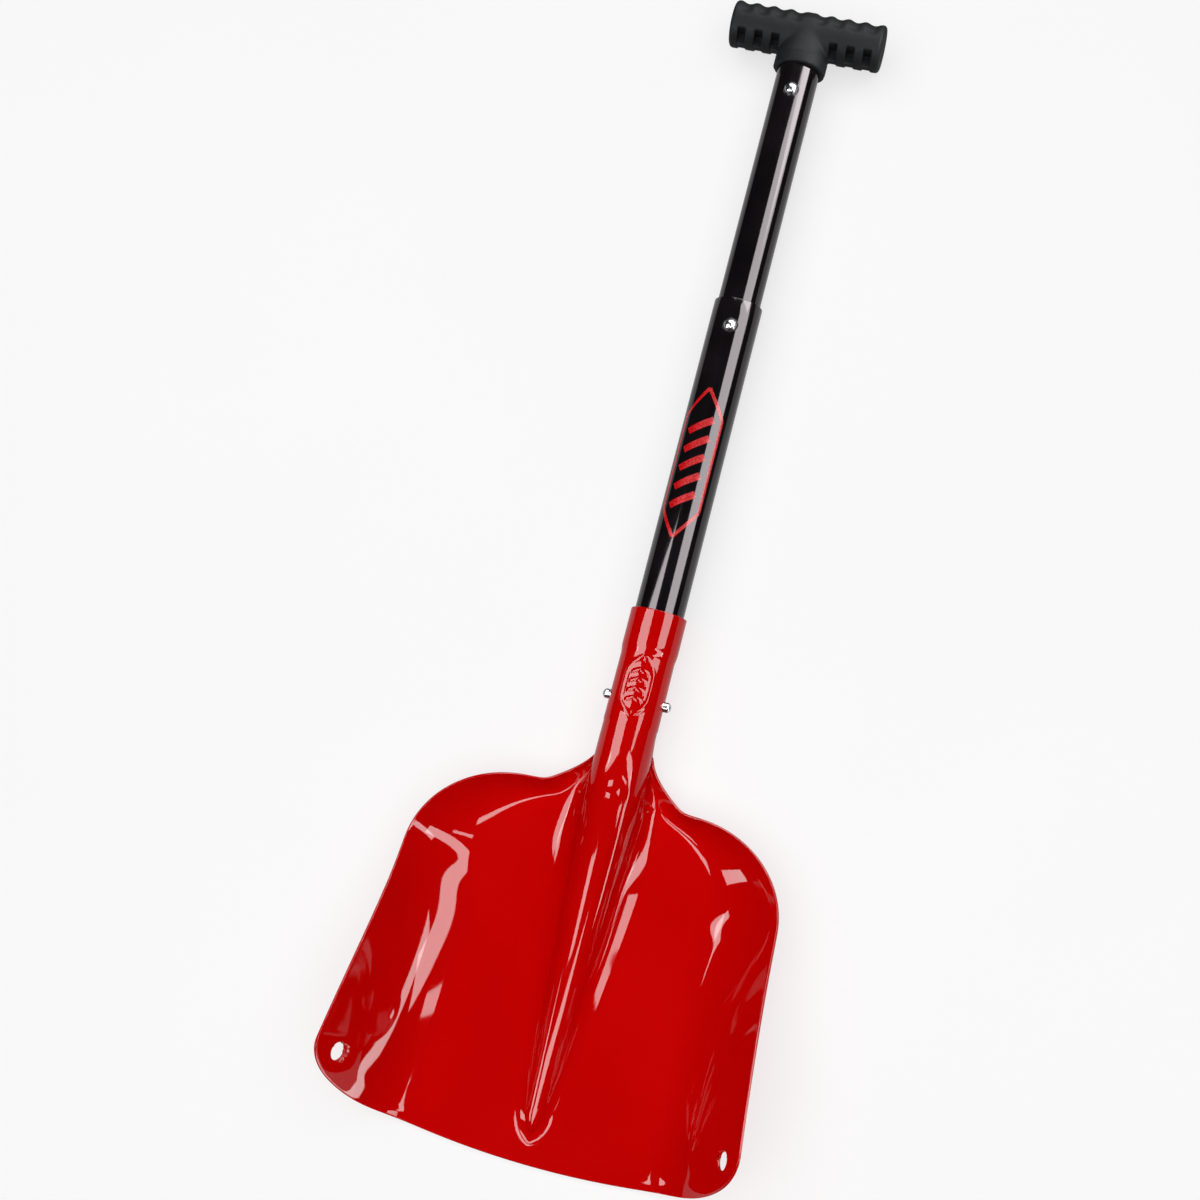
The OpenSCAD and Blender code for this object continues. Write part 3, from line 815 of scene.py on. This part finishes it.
def round_rod(r, h, rod_r, low, high, corner):
    """Distance to a rod of that radius from low to high, with rounded rims."""
    d1, d2 = r - (rod_r - corner), np.abs(h - (low + high) / 2) - ((high - low) / 2 - corner)
    return np.hypot(np.maximum(d1, 0), np.maximum(d2, 0)) + np.minimum(np.maximum(d1, d2), 0) - corner


def grip_field(x, y, z):
    """Signed distance to the moulded grip, negative inside."""
    bar_r, shaft_r, ax = np.hypot(y - BAR_Y, z), np.hypot(x, z), np.abs(x)
    valleys = [FIRST_VALLEY + n * PITCH for n in range(VALLEYS)]
    bar = round_rod(bar_r, x, BAR_R, -BAR_L / 2, BAR_L / 2, BAR_RIM)
    palm = ease(((y - BAR_Y) / np.maximum(bar_r, 1e-6) - PALM_FROM) / PALM_FADE)
    for at in valleys:
        valley = VALLEY_R - np.hypot(bar_r - (BAR_R + VALLEY_OUT + VALLEY_BACK * (1 - palm)), ax - at)
        bar = soft_max(bar, valley, BAR_BLEND)
    cone = (shaft_r - (CONE_R - (y - CONE_Y) * CONE_SLOPE)) * CONE_SCALE
    cone = soft_max(cone, np.maximum(y - CONE_HIGH, CONE_LOW - y), CONE_BLEND)
    body = soft_min(bar, cone, BODY_BLEND)
    collar = round_rod(shaft_r, y, COLLAR_R, COLLAR_Y, COLLAR_Y + COLLAR_L, COLLAR_RIM)
    body = soft_min(body, collar, COLLAR_BLEND)
    for at in valleys[1:]:
        bx = np.abs(ax - at) - (SLOT_W / 2 - SLOT_ROUND)
        by = (y - (BAR_Y - BAR_R)) - (SLOT_H - SLOT_ROUND)
        bz = SLOT_WEB / 2 + SLOT_ROUND - np.abs(z)
        out = np.sqrt(np.maximum(bx, 0) ** 2 + np.maximum(by, 0) ** 2 + np.maximum(bz, 0) ** 2)
        pocket = out + np.minimum(np.maximum(np.maximum(bx, by), bz), 0) - SLOT_ROUND
        body = soft_max(body, -pocket, SLOT_ROUND)
    bore = np.maximum(shaft_r - BORE_R, y - BORE_TOP)
    rivet_r = np.hypot(x, y - RIVET_Y)
    hole = np.maximum(rivet_r - RIVET_HOLE_R, z)
    seat = np.maximum(rivet_r - RIVET_SEAT_R, z + RIVET_SEAT_Z)
    for cut, blend in ((bore, BORE_BLEND), (hole, RIVET_BLEND), (seat, SEAT_BLEND)):
        body = soft_max(body, -cut, blend)
    return body


def surface_net(field, low, high, step):
    """Vertices and quads of a field's zero level over a box, then moved onto that level exactly."""
    axes = [np.arange(a, b + step, step) for a, b in zip(low, high)]
    values = field(*np.meshgrid(*axes, indexing="ij"))
    inside = values < 0
    shape = tuple(n - 1 for n in values.shape)
    total, count = np.zeros(shape + (3,)), np.zeros(shape)
    crossings = []
    for axis in range(3):
        a, b = [slice(None)] * 3, [slice(None)] * 3
        a[axis], b[axis] = slice(None, -1), slice(1, None)
        a, b = tuple(a), tuple(b)
        change = inside[a] != inside[b]
        at = np.argwhere(change)
        va, vb = values[a][change], values[b][change]
        point = at.astype(float)
        point[:, axis] += va / (va - vb)
        others = [k for k in range(3) if k != axis]
        cells = []
        for shift in ((0, 0), (-1, 0), (-1, -1), (0, -1)):
            cell = at.copy()
            cell[:, others] += shift
            np.add.at(total, tuple(cell.T), point)
            np.add.at(count, tuple(cell.T), 1)
            cells.append(cell)
        crossings.append((cells, (va < 0) == (axis != 1)))
    used = count > 0
    index = np.full(shape, -1)
    index[used] = np.arange(used.sum())
    verts = total[used] / count[used][:, None] * step + np.array(low)
    for _ in range(SETTLE_ROUNDS):
        f = field(*verts.T)
        slope = np.stack([(field(*(verts + d).T) - field(*(verts - d).T)) / (2 * SLOPE_STEP)
                          for d in np.eye(3) * SLOPE_STEP], -1)
        move = slope * (f / np.maximum((slope ** 2).sum(1), MIN_SLOPE))[:, None]
        verts = verts - np.clip(move, -step / 2, step / 2)
    quads = []
    for cells, turned in crossings:
        ids = np.stack([index[tuple(c.T)] for c in cells], 1)
        ids[~turned] = ids[~turned][:, ::-1]
        quads.append(ids)
    return verts, np.concatenate(quads)


def grip():
    low, high = box_mm("grip")
    verts, quads = surface_net(grip_field, low - GRIP_MARGINS[0], high + GRIP_MARGINS[1], GRIP_STEP)
    mesh = bpy.data.meshes.new("t_grip")
    mesh.from_pydata(verts.tolist(), [], quads.tolist())
    mesh.update()
    piece("t_grip", mesh, "upper_shaft", "grip", GRIP)


# ---------------------------------------------------------------- generic printed mark

PRINT_Y, PRINT_TURN, PRINT_GAP = 98.0, -8.0, 0.03
PRINT_W, PRINT_L, PRINT_CORNER, PRINT_LINE = 13.3, 50.0, 0.62, 2.2
BAR_PITCH, BAR_HALF, BAR_RISE, BAR_LINE = 12.5, 7.5, 5, 4.6
STRIP_STEPS, STRIP_CUTS = 14, 6


def strip(bm, a, b, width, radius):
    """A flat strip from a to b, which are (arc, y), on a cylinder of that radius."""
    a, b = np.array(a, float), np.array(b, float)
    along = (b - a) / np.linalg.norm(b - a)
    across = np.array([-along[1], along[0]])
    rows = []
    for t in np.arange(STRIP_STEPS + 1) / STRIP_STEPS:
        row = []
        for s in np.linspace(-1, 1, STRIP_CUTS + 1):
            arc, y = a + (b - a) * t + across * (width / 2) * s
            angle = arc / radius + math.radians(PRINT_TURN)
            row.append(bm.verts.new((radius * math.sin(angle), y, radius * math.cos(angle))))
        rows.append(row)
    for r, q in zip(rows, rows[1:]):
        for k in range(STRIP_CUTS):
            bm.faces.new([r[k], r[k + 1], q[k + 1], q[k]])


def printed_mark():
    """A plain long hexagon with slanted bars, printed round the front of the lower tube."""
    bm = bmesh.new()
    radius = LOWER_R + PRINT_GAP
    w, h, corner = PRINT_W, PRINT_L, PRINT_L * PRINT_CORNER
    ends = [(0, h), (w, corner), (w, -corner), (0, -h), (-w, -corner), (-w, corner)]
    for a, b in zip(ends, ends[1:] + ends[:1]):
        strip(bm, (a[0], PRINT_Y + a[1]), (b[0], PRINT_Y + b[1]), PRINT_LINE, radius)
    for k in range(-2, 3):
        y = PRINT_Y + k * BAR_PITCH
        strip(bm, (-BAR_HALF, y - BAR_RISE), (BAR_HALF, y + BAR_RISE), BAR_LINE, radius)
    piece("printed_mark", bm, "lower_shaft", None, PRINT)


# ---------------------------------------------------------------- scene

CAMERA_TILT, CAMERA_SWING, CAMERA_ROLL = (math.radians(a) for a in (8.33, -10.0, 14.7))
CAMERA_SHIFT, CAMERA_DISTANCE = (37.7, -9.15), 1211.5   # of the socket's mouth, in the camera's own axes
CAMERA_LENS, CAMERA_SENSOR = 57.0, 36.0
STAGE_SIZE, STAGE_CELLS, STAGE_GAP = 12.0, 24, 0.002    # metres, and the gap under the blade
DOME_SIZE, DOME_CELLS = 9, (48, 24)
AIM = (0, -0.1, 0)                                      # the blade's neck, in metres
WORLD_GREY = 0.004


def camera():
    """The viewing angle: turned about Y, then X, then Z from a view straight down on the scoop."""
    angles = CAMERA_TILT, CAMERA_SWING, CAMERA_ROLL
    (cx, sx), (cy, sy), (cz, sz) = ((math.cos(a), math.sin(a)) for a in angles)
    swing = Matrix(((cy, 0, sy), (0, 1, 0), (-sy, 0, cy)))
    tilt = Matrix(((1, 0, 0), (0, cx, sx), (0, -sx, cx)))
    roll = Matrix(((cz, sz, 0), (-sz, cz, 0), (0, 0, 1)))
    turn = (roll @ tilt @ swing).transposed()
    eye = -(turn @ Vector((*CAMERA_SHIFT, -CAMERA_DISTANCE))) * MM
    data = bpy.data.cameras.new("camera")
    data.lens, data.sensor_width = CAMERA_LENS, CAMERA_SENSOR
    data.clip_start, data.clip_end = 0.05, 50
    obj = bpy.data.objects.new("camera", data)
    obj.matrix_world = Matrix.Translation(eye) @ turn.to_4x4()
    link(obj)
    bpy.context.scene.camera = obj


def floor():
    """A pale floor that glows a little, so that it stays even; it casts no shadow and isn't reflected."""
    bm = bmesh.new()
    bmesh.ops.create_grid(bm, x_segments=STAGE_CELLS, y_segments=STAGE_CELLS, size=STAGE_SIZE / 2)
    mesh = new_mesh("floor", bm)
    m = Nodes("floor_paint")
    m.colours(m.noise(3, 2), (0.30, 0.30, 0.30), (0.31, 0.31, 0.31))
    m.set(Roughness=0.9, Specular_IOR_Level=0.0, Emission_Color=(1, 1, 1, 1), Emission_Strength=0.68)
    mesh.materials.append(m.material)
    obj = bpy.data.objects.new("floor", mesh)
    obj.location = (0, 0, cad_box[0][2] - STAGE_GAP)
    obj.visible_glossy = obj.visible_shadow = False
    link(obj)


def backdrop():
    """A pale dome that only the camera sees, so that low views have a plain background."""
    bm = bmesh.new()
    bmesh.ops.create_uvsphere(bm, u_segments=DOME_CELLS[0], v_segments=DOME_CELLS[1], radius=DOME_SIZE)
    mesh = new_mesh("backdrop", bm)
    m = Nodes("backdrop_paint")
    m.colours(m.noise(1, 1), (0.0, 0.0, 0.0), (0.01, 0.01, 0.01))
    m.set(Emission_Color=(0.93, 0.93, 0.94, 1), Emission_Strength=1.0, Roughness=1.0)
    mesh.materials.append(m.material)
    obj = bpy.data.objects.new("backdrop", mesh)
    for ray in ("diffuse", "glossy", "transmission", "shadow"):
        setattr(obj, "visible_" + ray, False)
    link(obj)


def panel(name, az, el, roll, distance, width, height, radiance, glossy=True):
    """A rectangular softbox that faces the blade's neck, seen from there at an azimuth (from +Z towards +X)
    and an elevation (towards +Y). The glossy ones only show as reflections, the others only light."""
    az, el = math.radians(az), math.radians(el)
    d = Vector((math.sin(az) * math.cos(el), math.sin(el), math.cos(az) * math.cos(el)))
    x = Matrix.Rotation(math.radians(roll), 3, d) @ Vector((0, 1, 0)).cross(d).normalized()
    data = bpy.data.lights.new(name, "AREA")
    data.shape = "RECTANGLE"
    data.size, data.size_y = width, height
    data.energy = radiance * math.pi * width * height
    obj = bpy.data.objects.new(name, data)
    turn = Matrix((x, d.cross(x), d)).transposed()
    obj.matrix_world = Matrix.Translation(Vector(AIM) + d * distance) @ turn.to_4x4()
    obj.visible_glossy = glossy
    obj.visible_diffuse = not glossy
    obj.visible_camera = False
    link(obj)


def lights():
    """One large soft light from above, and the panels that the coat and the tubes reflect."""
    world = bpy.data.worlds.new("studio")
    world.use_nodes = True
    grey = (WORLD_GREY, WORLD_GREY, WORLD_GREY, 1)
    world.node_tree.nodes["Background"].inputs["Color"].default_value = grey
    bpy.context.scene.world = world
    panel("overhead", 0, 0, 0, 2.6, 4.7, 4.7, 1.75, glossy=False)
    # the left wall's stripe and the right stripe of the tubes
    panel("key", 47, 26, 17, 1.58, 1.09, 1.12, 6.0)
    panel("key_low", 47, -4.7, -13.6, 2.1, 1.6, 0.26, 7.0)
    panel("key_strip", 89, -20.5, -28, 1.42, 1.84, 0.10, 7.0)
    # the tubes' left stripe and the right wall's patch
    panel("fill", -30, 8, 16, 0.55, 0.35, 0.29, 6.4)
    panel("fill_strip", -45, -5, 40, 0.82, 0.15, 0.08, 7.0)
    panel("fill_low", -58, -28, 19, 2.12, 0.97, 0.27, 7.0)
    # the ridge's nose, its foot on the right, the rims and the neck
    panel("front_low", 3, -29, 10, 1.35, 1.20, 0.14, 7.0)
    panel("front_strip", -15, -19, 0, 2.19, 0.65, 0.18, 7.0)
    panel("foot", 37, -12.4, -3, 1.9, 0.72, 0.07, 6.5)
    panel("top", 26, 58, -15, 1.68, 2.2, 1.1, 4.0)
    panel("rim_left", -135, 0, 0, 0.6, 0.9, 1.6, 0.5)
    panel("rim_right", 135, 0, 0, 0.6, 0.9, 1.6, 0.5)
    bpy.context.scene.view_settings.view_transform = "Standard"


blade()
shafts()
plug_and_bush()
buttons()
springs()
grip()
printed_mark()
camera()
floor()
backdrop()
lights()
